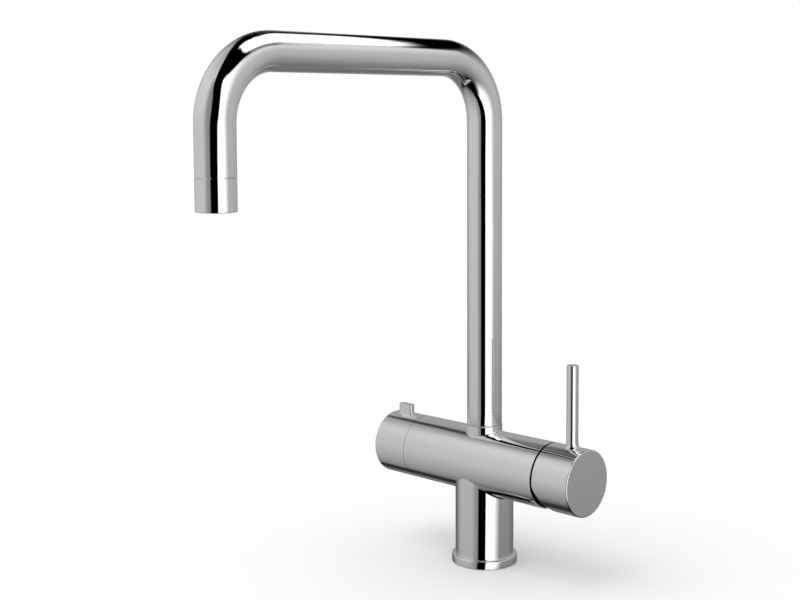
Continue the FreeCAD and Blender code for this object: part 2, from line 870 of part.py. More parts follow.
def cartridge_stem():
    """Brass lever: ball tail, pivot hub, round neck and square head."""
    ball = Part.makeSphere(stem_ball_radius, Vector(stem_ball_x, 0, barrel_axis_height), X)
    ball_start = stem_ball_x - stem_ball_radius + stem_ball_flat
    ball = ball.common(rod_x(stem_ball_radius + 1, ball_start, tilt_centre))
    tail = rod_x(stem_tail_radius, stem_ball_x, tilt_centre)
    slot_fit = stem_slot_half - 0.15
    hub_half = Y * (slot_fit - 0.1)
    hub = rod(stem_hub_radius, tilt_point - hub_half, tilt_point + hub_half)
    neck = turned_x([
        (0, tilt_centre),
        (stem_neck_radius - 2 * stem_neck_growth, tilt_centre),
        (stem_neck_radius - stem_neck_growth, tilt_centre + 4.0),
        (stem_neck_radius, tilt_centre + 7.0),
        (stem_neck_radius, neck_end),
        (0, neck_end),
    ])
    flats_end = rotor_end + 3.0
    flats = block_x(tilt_centre - 6, flats_end, -slot_fit, slot_fit, -8, 8)
    neck_in_slot = neck.common(flats)
    neck_out = neck.common(rod_x(2 * stem_neck_radius, flats_end - 1, neck_end + 1))
    half = stem_square / 2
    head = block_x(neck_end - chamfer, stem_end, -half, half, -half, half)
    long_edges = edges_where(head, lambda p: near(abs(p.y), half) and near(
        abs(p.z - barrel_axis_height), half))
    head = head.makeChamfer(stem_square_chamfer, long_edges)
    stem = ball.fuse([tail, hub, neck_in_slot, neck_out, head]).removeSplitter()
    hole_half = Y * (slot_fit + 2)
    hole = rod(pivot_pin_radius + running_gap, tilt_point - hole_half, tilt_point + hole_half)
    return stem.cut(hole)


def rim_run(drop):
    """How far behind its rim the knob starts at this drop, to pass the barrel at full tilt."""
    turn = math.radians(lever_tilt_range)
    barrel_face = barrel_right - tilt_centre + rim_clearance
    return (barrel_face + drop * math.sin(turn)) / math.cos(turn) - (knob_rim - tilt_centre)


def rim_cut():
    """The curved cut under the knob that leaves room for its rim when it tilts."""
    turn = math.radians(lever_tilt_range)
    barrel_face = barrel_right - tilt_centre + rim_clearance
    start_drop = ((knob_rim - tilt_centre) * math.cos(turn) - barrel_face) / math.sin(turn)
    end_drop = barrel_radius + cut_below_knob
    side = -barrel_radius - 5
    spare = 5.0

    def place(run, drop):
        return Vector(knob_rim + run, side, barrel_axis_height - drop)

    start = place(0, start_drop)
    middle = place(rim_run(cut_middle_drop) + cut_middle_room, cut_middle_drop)
    end = place(rim_run(end_drop) + cut_end_room, end_drop)
    below = place(-spare, end_drop)
    beside = place(-spare, start_drop)
    edges = [
        Part.Arc(start, middle, end).toShape(),
        Part.makeLine(end, below),
        Part.makeLine(below, beside),
        Part.makeLine(beside, start),
    ]
    return Part.Face(Part.Wire(edges)).extrude(Y * (-2 * side))


def grub_hole(x):
    """Threaded hole from a knob's underside to the shaft."""
    return rod_z(grub_radius, barrel_axis_height - barrel_radius - 1, barrel_axis_height, x)


def mixer_knob():
    """Round knob hollowed as a ball about its tilt centre."""
    knob = rod_x(barrel_radius, knob_rim, mixer_knob_end)
    end_edge = edges_where(
        knob, lambda p: near(p.x, mixer_knob_end) and near(round_of(p), barrel_radius)
    )
    knob = knob.makeFillet(knob_edge, end_edge)
    hollow = Part.makeSphere(dome_radius + seam_gap, tilt_point)
    half = stem_square / 2 + press_gap
    socket = block_x(tilt_centre + 10, stem_end + chamfer, -half, half, -half, half)
    spot = rod_z(pin_foot_radius, pin_spot_level, pin_spot_level + 5, pin_centre)
    tail_floor = pin_spot_level - pin_tail_length - 1
    tail = rod_z(pin_tail_radius, tail_floor, pin_spot_level + 1, pin_centre)
    return knob.cut([hollow, rim_cut(), socket, spot, tail, grub_hole(mixer_grub_place)])


def lever_pin():
    """Slim pin with a flared foot and a threaded tail."""
    level = pin_spot_level
    surface = level + pin_foot_depth
    tail = pin_tail_radius - running_gap
    flare = pin_foot_radius - running_gap
    pin = turned_z([
        (0, level - pin_tail_length),
        (tail - chamfer, level - pin_tail_length),
        (tail, level - pin_tail_length + chamfer),
        (tail, level),
        (flare, level),
        (flare, surface),
        (pin_radius + 0.55, surface + pin_blend_height * 0.25),
        (pin_radius + 0.2, surface + pin_blend_height * 0.55),
        (pin_radius, surface + pin_blend_height),
        (pin_radius, pin_top),
        (0, pin_top),
    ], pin_centre)
    return pin.makeFillet(pin_edge, edges_where(pin, lambda p: near(p.z, pin_top)))


def grub_screw(x, point_level):
    """A headless screw that points up, with a hexagon socket in its lower end."""
    radius = grub_radius - running_gap
    screw = turned_z([
        (0, point_level),
        (radius * 0.55, point_level),
        (radius, point_level - radius * 0.45),
        (radius, point_level - grub_length),
        (0, point_level - grub_length),
    ], x)
    lower_end = point_level - grub_length
    return screw.cut(polygon_z(radius * 0.5, 6, lower_end, lower_end + grub_length * 0.4, x))


def mixer_grub_screw():
    return grub_screw(mixer_grub_place, barrel_axis_height - stem_square / 2)


# ---- what slides on the fixed disc ----
def moving_disc():
    """Ceramic disc with the three-cornered pocket that joins the inlets to the outlet."""
    disc = rod_x(moving_disc_radius, moving_disc_start, moving_disc_end, 0, disc_rest)
    depth = moving_disc_start + disc_pocket_depth
    left, right, low = pocket_corners
    pocket = []
    for first, second in ((left, right), (left, low), (right, low)):
        pocket.append(slot_x(pocket_slot_radius, moving_disc_start, depth, first, second))
    return disc.cut(pocket)


def disc_carrier():
    """Carrier that holds the moving disc and has a cup for the stem's ball."""
    half = carrier_half_width
    plate = rod_x(moving_disc_radius, moving_disc_end, carrier_plate_end, 0, disc_rest)
    guide = block_x(carrier_plate_end, carrier_top, -half, half, -half, half)
    guide = guide.common(rod_x(carrier_round, carrier_plate_end, carrier_top))
    cup_floor = stem_ball_x - stem_ball_radius - 2 * loose_gap
    cup = rod_x(stem_ball_radius + loose_gap, cup_floor, carrier_top + 1)
    return plate.fuse(guide).removeSplitter().cut(cup)


# ---- the quarter-turn headwork ----
def headwork_body():
    """Brass headwork: slotted cage, thread, hexagon flange and neck."""
    thread = headwork_thread_radius - thread_gap
    disc_bore = cage_inner + running_gap
    spindle_bore = spindle_radius + running_gap
    cone_start = ring_chamber_end + 2.0
    body = turned_left([
        (disc_bore, cage_start),
        (cage_outer, cage_start),
        (cage_outer, cone_start),
        (thread, cone_start + 1.5),
        (thread, hex_start),
        (headwork_neck_radius, hex_start),
        (headwork_neck_radius, headwork_neck_end),
        (spindle_bore, headwork_neck_end),
        (spindle_bore, headwork_bore_end),
        (disc_bore, headwork_bore_end),
    ])
    hexagon = polygon_x(headwork_flat, 6, -hex_end, -hex_start)
    hexagon = hexagon.cut(rod_x(headwork_neck_radius - 1, -hex_end, -hex_start))
    window_start = disc_split + 0.4
    window_end = window_start + window_length
    windows = []
    for side in (-1, 1):
        y0, y1 = sorted((side * 5.0, side * 12.0))
        windows.append(block_x(-window_end, -window_start, y0, y1, -window_half, window_half))
    body = body.fuse(hexagon).removeSplitter().cut(windows)
    key_start = turning_disc_end + 1.65
    key = sector_x(cage_inner + chamfer, 6.6, -headwork_bore_end, -key_start, 174.0, 186.0)
    return body.fuse(key).removeSplitter()


def headwork_washer():
    inner = headwork_thread_radius + 2 * seal_gap
    return turned_left([
        (inner, headwork_seat),
        (headwork_washer_radius, headwork_seat),
        (headwork_washer_radius, hex_start),
        (inner, hex_start),
    ])


def headwork_seat_seal():
    outer = cage_outer - 0.4
    return turned_left([
        (seat_seal_inner, seat_floor),
        (outer, seat_floor),
        (outer, cage_start),
        (seat_seal_inner, cage_start),
    ])


def quarter_openings(x0, x1, first_angle):
    """Two opposite wedge openings of a ceramic disc."""
    outer = cage_inner - 1.4
    inner = 1.6
    half = 36.0
    wedges = []
    for turn in (0.0, 180.0):
        middle = first_angle + turn
        wedges.append(sector_x(outer, inner, x0, x1, middle - half, middle + half))
    return wedges


def headwork_fixed_disc():
    disc = rod_x(cage_inner, -disc_split, -cage_start)
    return disc.cut(quarter_openings(-disc_split, -cage_start, 0.0))


def headwork_moving_disc():
    disc = rod_x(turning_disc_radius, -turning_disc_end, -turning_disc_start)
    return disc.cut(quarter_openings(-turning_disc_end, -turning_disc_start, 90.0))


def headwork_spindle():
    """Turning spindle with its driving foot, ring groove, clip groove and splined end."""
    driver_end = turning_disc_end + driver_height
    ring_half = spindle_groove_width / 2
    groove_floor = spindle_radius - spindle_groove_depth
    spindle = turned_left([
        (0, turning_disc_end),
        (turning_disc_radius, turning_disc_end),
        (turning_disc_radius, driver_end),
        (spindle_radius, driver_end),
        (spindle_radius, spindle_ring_place - ring_half),
        (groove_floor, spindle_ring_place - ring_half),
        (groove_floor, spindle_ring_place + ring_half),
        (spindle_radius, spindle_ring_place + ring_half),
        (spindle_radius, clip_start - seal_gap),
        (spline_radius - 0.4, clip_start - seal_gap),
        (spline_radius - 0.4, clip_end + seal_gap),
        (spline_radius, clip_end + seal_gap),
        (spline_radius, spline_end - chamfer),
        (spline_radius - chamfer, spline_end),
        (0, spline_end),
    ])
    room = sector_x(
        cage_inner + 1, 6.3, -headwork_bore_end, -turning_disc_end - 1.0,
        180.0 - 8.0 - filter_turn_range, 180.0 + 8.0,
    )
    waists = []
    for side in (-1, 1):
        y0, y1 = sorted((side * 4.5, side * 12.0))
        waists.append(block_x(-turning_disc_end - 1.45, -turning_disc_end, y0, y1, -4.0, 4.0))
    screw_thread = rod_x(1.6, -spline_end - 1, -spline_end + 10)
    return spindle.cut([room, screw_thread] + waists)


def spindle_ring():
    section = spindle_groove_depth / 2 - 0.03
    return ring_x(section, spindle_radius - section - seal_gap / 2, -spindle_ring_place)


def spindle_clip():
    """Open spring clip that keeps the spindle in its neck."""
    inner = spline_radius - 0.35
    ring = turned_left([
        (inner, clip_start),
        (clip_radius, clip_start),
        (clip_radius, clip_end),
        (inner, clip_end),
    ])
    return ring.cut(block_x(-clip_end - 1, -clip_start + 1, -1.6, 1.6, 0, clip_radius + 2))


# ---- filter knob ----
def tab_block(room, z0, z1):
    """Round-cornered block of the tab's plan, grown by this much all round."""
    half = tab_length / 2 + room
    width = tab_width / 2 + room
    block = block_x(-tab_centre - half, -tab_centre + half, -width, width, z0, z1)
    corners = edges_where(
        block, lambda p: near(abs(p.y), width) and near(abs(p.x + tab_centre), half)
    )
    return block.makeFillet(tab_corner, corners)


def filter_knob():
    """Round knob with a ribbed hollow, a splined hub and a slot for its tab."""
    shell_inner = barrel_radius - knob_shell
    hollow_end = filter_knob_end - knob_end_wall
    knob = rod_x(barrel_radius, -filter_knob_end, -filter_knob_start)
    outer_edge = edges_where(
        knob, lambda p: near(p.x, -filter_knob_end) and near(round_of(p), barrel_radius)
    )
    knob = knob.makeFillet(knob_edge, outer_edge)
    hollow = turned_left([
        (hub_radius, filter_knob_start),
        (shell_inner, filter_knob_start),
        (shell_inner, hollow_end),
        (hub_radius, hollow_end),
    ])
    mouth = rod_x(hub_radius, -hub_start, -filter_knob_start)
    bore = rod_x(spline_radius + press_gap, -spline_end - chamfer, -hub_start)
    knob = knob.cut([hollow, mouth, bore])
    rib_start = hub_start + 4.0
    ribs = []
    for turn in (45.0, 135.0, 225.0, 315.0):
        rib = block_x(-hollow_end - chamfer, -rib_start, hub_radius - chamfer, shell_inner + chamfer,
                      -rib_width / 2, rib_width / 2)
        rib.rotate(barrel_centre, X, turn)
        ribs.append(rib)
    knob = knob.fuse(ribs).removeSplitter()
    slot = tab_block(press_gap, shell_inner - 1, barrel_radius + 1)
    return knob.cut([slot, grub_hole(-filter_grub_place)])


def filter_tab():
    """Raised finger tab, let into the knob's shell."""
    foot = barrel_radius - knob_shell + 2 * seal_gap
    tab = tab_block(0.0, foot, barrel_radius + tab_rise)
    top_level = barrel_axis_height + barrel_radius + tab_rise
    return tab.makeFillet(tab_edge, edges_where(tab, lambda p: near(p.z, top_level)))


def filter_grub_screw():
    return grub_screw(-filter_grub_place, barrel_axis_height - spline_radius)


# ---- the swivelling spout ----
def spout_path(start, end):
    """The centre line of riser, bend, arm, bend and drop."""
    slant = bend_radius * math.sin(math.radians(45))
    low = arm_height - bend_radius
    first_end = -bend_radius
    second_start = bend_radius - spout_reach
    riser = Part.LineSegment(Vector(0, 0, start), Vector(0, 0, low))
    first = Part.Arc(
        Vector(0, 0, low),
        Vector(0, first_end + slant, low + slant),
        Vector(0, first_end, arm_height),
    )
    arm = Part.LineSegment(Vector(0, first_end, arm_height), Vector(0, second_start, arm_height))
    second = Part.Arc(
        Vector(0, second_start, arm_height),
        Vector(0, second_start - slant, low + slant),
        Vector(0, -spout_reach, low),
    )
    drop = Part.LineSegment(Vector(0, -spout_reach, low), Vector(0, -spout_reach, end))
    return Part.Wire([piece.toShape() for piece in (riser, first, arm, second, drop)])


def pipe_solid(radius, start, end):
    path = spout_path(start, end)
    circle = Part.Wire(Part.makeCircle(radius, Vector(0, 0, start), Z))
    return path.makePipeShell([circle], True, False)


def spout_tube():
    end = outlet_top + seam_gap
    inner = pipe_solid(tube_radius - tube_wall, spout_start, end)
    return pipe_solid(tube_radius, spout_start, end).cut(inner)


def filtered_water_tube():
    inner = pipe_solid(inner_tube_bore, inner_tube_start, inner_tube_end)
    return pipe_solid(inner_tube_radius, inner_tube_start, inner_tube_end).cut(inner)


def stop_groove():
    """Part-round groove, open towards the back, that limits the swing."""
    reach = swivel_range + 10.0
    low = stop_height - stop_groove_half
    high = stop_height + stop_groove_half
    inner = spigot_radius - stop_groove_depth
    outer = spigot_radius + 1
    corners = [Vector(r, 0, z) for r, z in ((inner, low), (outer, low), (outer, high), (inner, high))]
    face = Part.Face(Part.makePolygon(corners + corners[:1]))
    face.rotate(Vector(0, 0, 0), Z, 90.0 - reach)
    return face.revolve(Vector(0, 0, 0), Z, 2 * reach)


def spout_spigot():
    """Brass foot of the spout: nose, flow holes, ring grooves, stop groove and tube plug."""
    spigot = turned_z([
        (0, nose_end),
        (nose_radius, nose_end),
        (nose_radius, spigot_start),
        (spigot_radius, spigot_start),
        (spigot_radius, spout_start),
        (plug_radius, spout_start),
        (plug_radius, spigot_top - 0.8),
        (plug_radius - 0.8, spigot_top),
        (0, spigot_top),
    ])
    hub_top = spigot_bore_floor + spigot_hub_height
    cuts = [turned_z([
        (spigot_hub_radius, spigot_bore_floor),
        (spigot_bore_radius, spigot_bore_floor),
        (spigot_bore_radius, spigot_top),
        (0, spigot_top),
        (0, hub_top),
        (spigot_hub_radius, hub_top),
    ])]
    for i in range(flow_holes):
        place = on_circle(flow_hole_circle, full_turn * i / flow_holes)
        cuts.append(rod_z(flow_hole_radius, spigot_start - 1, spigot_bore_floor + chamfer, *place))
    cuts.append(rod_z(inner_tube_bore + 2 * seal_gap, nose_end - 1, spigot_top))
    tube_seat = inner_tube_start - 2 * seal_gap
    cuts.append(rod_z(inner_tube_radius + running_gap, tube_seat, spigot_top))
    for level in spigot_ring_levels:
        cuts.append(groove_z(spigot_radius, level, spigot_groove_half, spigot_groove_depth))
    cuts.append(groove_z(nose_bore_radius, nose_ring_level, nose_groove_half, nose_groove_depth))
    cuts.append(stop_groove())
    return spigot.cut(cuts)


def swivel_stop_screw():
    """Grub screw at the collar's back; its tip runs in the spigot's groove."""
    start = socket_radius - 1.0
    length = collar_radius - seam_gap - start
    tip_length = 1.15
    key_depth = 1.3
    screw = turned_z([
        (0, 0),
        (stop_tip_radius, 0),
        (stop_tip_radius, tip_length),
        (stop_screw_radius, tip_length + 2 * seal_gap),
        (stop_screw_radius, length),
        (0, length),
    ])
    screw = screw.cut(polygon_z(stop_screw_radius / 2, 6, length - key_depth, length))
    screw.rotate(Vector(0, 0, 0), X, -90)
    screw.translate(Vector(0, start, stop_height))
    return screw


def spigot_rings():
    section = spigot_ring_section
    middle = socket_radius - seal_gap - section
    rings = [ring_z(section, middle, level) for level in spigot_ring_levels]
    nose_middle = nose_bore_radius - seal_gap / 2 - nose_ring_section
    rings.append(ring_z(nose_ring_section, nose_middle, nose_ring_level))
    return rings


def glide_ring():
    """Plastic ring that the spout turns on, let into the collar's top."""
    bottom = collar_top - glide_depth
    inner = spigot_radius + seal_gap
    outer = glide_recess_radius - running_gap
    top = spout_start - 0.03
    return turned_z([
        (inner, bottom),
        (outer, bottom),
        (outer, collar_top + press_gap),
        (glide_recess_radius - 0.4, top),
        (inner, top),
    ])


def outlet_socket():
    """Threaded ring fixed in the spout's end."""
    bottom = outlet_top + seam_gap
    top = bottom + socket_ring_height
    thread = outlet_thread_radius + face_gap
    ledge = outlet_thread_radius - 1.4
    return turned_z([
        (thread, bottom),
        (plug_radius, bottom),
        (plug_radius, top),
        (ledge, top),
        (ledge, top - 2.5),
        (thread, top - 3.0),
    ], 0, -spout_reach)


def aerator_housing():
    """Outlet sleeve: outer wall, seat for the washer and male thread."""
    bore = aerator_radius + running_gap
    thread = outlet_thread_radius - running_gap
    thread_top = outlet_top + outlet_thread_height
    ledge = outlet_thread_radius - outlet_ledge
    sleeve = turned_z([
        (bore + chamfer, outlet_bottom),
        (tube_radius, outlet_bottom),
        (tube_radius, outlet_top),
        (thread, outlet_top),
        (thread, thread_top - chamfer),
        (thread - chamfer, thread_top),
        (ledge, thread_top),
        (ledge, aerator_shoulder),
        (bore, aerator_shoulder),
        (bore, outlet_bottom + chamfer),
    ], 0, -spout_reach)

    def outside_edge(p):
        from_axis = math.hypot(p.x, p.y + spout_reach)
        return near(from_axis, tube_radius) and near(p.z, outlet_bottom)

    return sleeve.makeFillet(outlet_edge, edges_where(sleeve, outside_edge))


def aerator_washer():
    return turned_z([
        (washer_inner, aerator_top),
        (aerator_radius, aerator_top),
        (aerator_radius, aerator_shoulder),
        (washer_inner, aerator_shoulder),
    ], 0, -spout_reach)


def aerator_insert():
    """Plastic jet former: honeycomb face, rim, and a nipple for the filtered water."""
    face_top = aerator_bottom + aerator_floor
    nipple = inner_tube_bore - running_gap
    cup = turned_z([
        (0, aerator_bottom),
        (aerator_radius - 0.4, aerator_bottom),
        (aerator_radius, aerator_bottom + 0.4),
        (aerator_radius, aerator_top),
        (washer_inner, aerator_top),
        (washer_inner, face_top),
        (nipple_wall_radius, face_top),
        (nipple_wall_radius, aerator_top),
        (nipple, aerator_top),
        (nipple, nipple_top),
        (0, nipple_top),
    ], 0, -spout_reach)
    cuts = [rod_z(centre_jet_radius, aerator_bottom - 1, nipple_top + 1, 0, -spout_reach)]
    inner_limit = nipple_wall_radius + cell_size
    outer_limit = aerator_radius - 1.5
    row_step = cell_pitch * math.sin(math.radians(60))
    rows = int(outer_limit / row_step) + 1
    columns = int(outer_limit / cell_pitch) + 1
    for row in range(-rows, rows + 1):
        for column in range(-columns, columns + 1):
            x = (column + 0.5 * (row % 2)) * cell_pitch
            y = row * row_step
            if inner_limit < math.hypot(x, y) < outer_limit:
                cuts.append(polygon_z(cell_size, 6, aerator_bottom - 1, face_top + 1,
                                      x, y - spout_reach))
    return cup.cut(cuts)


pieces = {
    "body_casting": body_casting,
    "base_ring": base_ring,
    "base_gasket": base_gasket,
    "inlet_block": inlet_block,
    "inlet_block_seals": inlet_block_seals,
    "inlet_block_screws": inlet_block_screws,
    "cartridge_base": cartridge_base,
    "cartridge_seals": cartridge_seals,
    "cartridge_fixed_disc": fixed_disc,
    "cartridge_housing": cartridge_housing,
    "cartridge_nut": cartridge_nut,
    "dome_shroud": dome_shroud,
    "headwork_body": headwork_body,
    "headwork_washer": headwork_washer,
    "headwork_seat_seal": headwork_seat_seal,
    "headwork_fixed_disc": headwork_fixed_disc,
    "swivel_stop_screw": swivel_stop_screw,
    "glide_ring": glide_ring,
    "cartridge_rotor": cartridge_rotor,
    "rotor_ring": rotor_ring,
    "pivot_pin": pivot_pin,
    "cartridge_stem": cartridge_stem,
    "mixer_knob": mixer_knob,
    "lever_pin": lever_pin,
    "mixer_grub_screw": mixer_grub_screw,
    "cartridge_moving_disc": moving_disc,
    "disc_carrier": disc_carrier,
    "headwork_spindle": headwork_spindle,
    "headwork_moving_disc": headwork_moving_disc,
    "spindle_ring": spindle_ring,
    "spindle_clip": spindle_clip,
    "filter_knob": filter_knob,
    "filter_tab": filter_tab,
    "filter_grub_screw": filter_grub_screw,
    "spout_tube": spout_tube,
    "spout_spigot": spout_spigot,
    "spigot_rings": spigot_rings,
    "filtered_water_tube": filtered_water_tube,
    "outlet_socket": outlet_socket,
    "aerator_housing": aerator_housing,
    "aerator_washer": aerator_washer,
    "aerator_insert": aerator_insert,
}


def save_all():
    os.makedirs("parts", exist_ok=True)
    for name, make in pieces.items():
        shape = make()
        if isinstance(shape, list):
            shape = Part.makeCompound(shape)
        shape.exportStep(os.path.join("parts", name + ".step"))
        solids = len(shape.Solids)
        print(name, "solids", solids, "valid", shape.isValid(), "volume", round(shape.Volume, 1))


save_all()
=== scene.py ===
import bpy
import bmesh
import json
import math
import numpy as np
from mathutils import Matrix, Vector


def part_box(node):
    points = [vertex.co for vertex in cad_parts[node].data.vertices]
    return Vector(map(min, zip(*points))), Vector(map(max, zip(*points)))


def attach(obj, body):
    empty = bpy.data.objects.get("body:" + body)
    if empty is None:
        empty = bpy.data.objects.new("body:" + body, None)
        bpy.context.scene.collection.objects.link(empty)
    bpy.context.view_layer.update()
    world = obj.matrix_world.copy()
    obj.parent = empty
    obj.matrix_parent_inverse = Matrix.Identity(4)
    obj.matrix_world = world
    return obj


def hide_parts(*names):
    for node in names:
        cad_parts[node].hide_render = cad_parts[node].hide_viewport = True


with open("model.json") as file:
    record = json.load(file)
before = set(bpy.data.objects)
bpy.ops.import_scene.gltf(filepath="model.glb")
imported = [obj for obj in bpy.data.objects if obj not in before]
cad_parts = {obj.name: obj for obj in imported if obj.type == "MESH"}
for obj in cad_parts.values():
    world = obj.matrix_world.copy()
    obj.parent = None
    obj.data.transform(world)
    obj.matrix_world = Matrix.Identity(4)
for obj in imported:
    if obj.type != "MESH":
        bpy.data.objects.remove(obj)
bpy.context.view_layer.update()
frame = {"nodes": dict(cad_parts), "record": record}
nodes = frame["nodes"]
slotOfNode = {subpart["node"]: subpart["material_slot"] for subpart in frame["record"]["subparts"]}
print("frame loaded,", len(nodes), "pieces")


def lowHigh(node):
    low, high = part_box(node)
    return Vector(low), Vector(high)


# node helpers: each adds to a material's tree and gives back the new output

def newMaterial(name):
    material = bpy.data.materials.new(name)
    material.use_nodes = True
    tree = material.node_tree
    return material, tree, tree.nodes["Principled BSDF"]


def feed(tree, socket, value):
    # an output is linked to the socket, a number or a colour is written on it
    if isinstance(value, bpy.types.NodeSocket):
        tree.links.new(value, socket)
    elif socket.type == "RGBA":
        socket.default_value = (*value, 1.0)
    else:
        socket.default_value = value


def objectPlace(tree):
    # texture place in metres, fixed to the object
    return tree.nodes.new("ShaderNodeTexCoord").outputs["Object"]


def noiseField(tree, place, scale, detail, roughness):
    noise = tree.nodes.new("ShaderNodeTexNoise")
    noise.inputs["Scale"].default_value = scale
    noise.inputs["Detail"].default_value = detail
    noise.inputs["Roughness"].default_value = roughness
    tree.links.new(place, noise.inputs["Vector"])
    return noise.outputs["Fac"]


def combine(tree, operation, first, second):
    maths = tree.nodes.new("ShaderNodeMath")
    maths.operation = operation
    tree.links.new(first, maths.inputs[0])
    tree.links.new(second, maths.inputs[1])
    return maths.outputs[0]


def remap(tree, value, low, high, outLow, outHigh):
    change = tree.nodes.new("ShaderNodeMapRange")
    feed(tree, change.inputs["Value"], value)
    feed(tree, change.inputs["From Min"], low)
    feed(tree, change.inputs["From Max"], high)
    feed(tree, change.inputs["To Min"], outLow)
    feed(tree, change.inputs["To Max"], outHigh)
    return change.outputs["Result"]


def tintBetween(tree, value, first, second):
    mix = tree.nodes.new("ShaderNodeMix")
    mix.data_type = "RGBA"
    feed(tree, mix.inputs[0], value)
    feed(tree, mix.inputs[6], first)  # the two colour inputs are 6 and 7
    feed(tree, mix.inputs[7], second)
    return mix.outputs[2]


def bumpFrom(tree, shader, height, strength, distance):
    bump = tree.nodes.new("ShaderNodeBump")
    bump.inputs["Strength"].default_value = strength
    bump.inputs["Distance"].default_value = distance
    tree.links.new(height, bump.inputs["Height"])
    tree.links.new(bump.outputs["Normal"], shader.inputs["Normal"])


# polished chrome, dull in the gap between barrel and mixer knob, with painted shade there: a near-black
# colour stands in for the gap's shade
# haze, spots and wave are scale, detail and roughness of their noises

chromeLook = {
    "dark": (0.876, 0.880, 0.886), "light": (0.908, 0.910, 0.914),
    "haze": (46.0, 4.0, 0.55), "spots": (310.0, 2.0, 0.5), "wave": (120.0, 0.0, 0.4),
    "smooth": 0.02, "handled": 0.045, "handledFrom": 0.16, "handledTo": 0.40,
    "plateWave": 0.03, "waveDepth": 0.00003,
}
gapShadeAndDullLook = {
    "colour": (0.020, 0.020, 0.021), "rough": 0.5,
    "endInset": 0.00005, "endSoft": 0.0002, "rimInset": 0.0006, "rimSoft": 0.0004,
}


def gapShadeAndDullMask(tree, place):
    # 1 on the walls between barrel and mixer knob: dull where no polishing wheel reaches, and painted shade
    # in the colour there
    barrelEnd = lowHigh("body_casting")[1].x
    low, high = lowHigh("mixer_knob")
    height, radius = (low.z + high.z) / 2, (high.z - low.z) / 2
    inset, soft = gapShadeAndDullLook["endInset"], gapShadeAndDullLook["endSoft"]
    parts = tree.nodes.new("ShaderNodeSeparateXYZ")
    tree.links.new(place, parts.inputs[0])
    along = parts.outputs["X"]
    after = remap(tree, along, barrelEnd - inset - soft, barrelEnd - inset, 0.0, 1.0)
    before = remap(tree, along, low.x + inset, low.x + inset + soft, 1.0, 0.0)
    centred = tree.nodes.new("ShaderNodeVectorMath")
    centred.operation = "MULTIPLY_ADD"
    centred.inputs[1].default_value = (0.0, 1.0, 1.0)
    centred.inputs[2].default_value = (0.0, 0.0, -height)
    tree.links.new(place, centred.inputs[0])
    fromAxis = tree.nodes.new("ShaderNodeVectorMath")
    fromAxis.operation = "LENGTH"
    tree.links.new(centred.outputs[0], fromAxis.inputs[0])
    rim = radius - gapShadeAndDullLook["rimInset"]
    inside = remap(tree, fromAxis.outputs["Value"], rim - gapShadeAndDullLook["rimSoft"], rim, 1.0, 0.0)
    return combine(tree, "MULTIPLY", combine(tree, "MULTIPLY", after, before), inside)


def chromeFinish():
    material, tree, shader = newMaterial("polishedChrome")
    place = objectPlace(tree)
    haze = noiseField(tree, place, *chromeLook["haze"])
    spots = noiseField(tree, place, *chromeLook["spots"])
    wave = noiseField(tree, place, *chromeLook["wave"])
    gapShadeAndDull = gapShadeAndDullMask(tree, place)
    plate = tintBetween(tree, haze, chromeLook["dark"], chromeLook["light"])
    # the gap walls get a near-black colour: painted shade
    feed(tree, shader.inputs["Base Color"], tintBetween(tree, gapShadeAndDull, plate, gapShadeAndDullLook["colour"]))
    touched = combine(tree, "MULTIPLY", haze, spots)
    rough = remap(tree, touched, chromeLook["handledFrom"], chromeLook["handledTo"],
                  chromeLook["smooth"], chromeLook["handled"])
    feed(tree, shader.inputs["Roughness"], remap(tree, gapShadeAndDull, 0.0, 1.0, rough, gapShadeAndDullLook["rough"]))
    shader.inputs["Metallic"].default_value = 1.0
    bumpFrom(tree, shader, wave, chromeLook["plateWave"], chromeLook["waveDepth"])
    return material


# finishes of the inner pieces; a grain is scale, detail and roughness of its noise

innerLooks = {
    "bare_brass": {
        "name": "turnedBrass", "dark": (0.60, 0.44, 0.20), "light": (0.80, 0.64, 0.34), "metal": 1.0,
        "rough": (0.22, 0.38), "grain": (90.0, 4.0, 0.6), "bump": 0.35, "depth": 0.00004,
        "toolMarks": 1500.0, "toolWander": 1.4},
    "stainless_steel": {
        "name": "turnedSteel", "dark": (0.50, 0.50, 0.51), "light": (0.68, 0.68, 0.68), "metal": 1.0,
        "rough": (0.20, 0.36), "grain": (900.0, 3.0, 0.6), "bump": 0.2, "depth": 0.00003},
    "black_rubber": {
        "name": "mouldedRubber", "dark": (0.018, 0.018, 0.019), "light": (0.040, 0.040, 0.041),
        "metal": 0.0, "rough": (0.55, 0.75), "grain": (620.0, 3.0, 0.55), "bump": 0.3, "depth": 0.00005},
    "grey_plastic": {
        "name": "greyPlastic", "dark": (0.30, 0.31, 0.33), "light": (0.40, 0.41, 0.43), "metal": 0.0,
        "rough": (0.38, 0.50), "grain": (420.0, 3.0, 0.55), "bump": 0.3, "depth": 0.00003},
    "white_plastic": {
        "name": "whitePlastic", "dark": (0.78, 0.79, 0.79), "light": (0.88, 0.89, 0.89), "metal": 0.0,
        "rough": (0.30, 0.42), "grain": (420.0, 3.0, 0.55), "bump": 0.3, "depth": 0.00002},
    "white_ceramic": {
        "name": "whiteCeramic", "dark": (0.82, 0.81, 0.77), "light": (0.90, 0.89, 0.86), "metal": 0.0,
        "rough": (0.12, 0.24), "grain": (700.0, 3.0, 0.55), "bump": 0.3, "depth": 0.00001},
    "dark_ceramic": {
        "name": "darkCeramic", "dark": (0.16, 0.16, 0.18), "light": (0.26, 0.26, 0.28), "metal": 0.0,
        "rough": (0.10, 0.20), "grain": (700.0, 3.0, 0.55), "bump": 0.3, "depth": 0.00001},
}
grainRange = (0.3, 0.7)  # where most of a noise's values lie


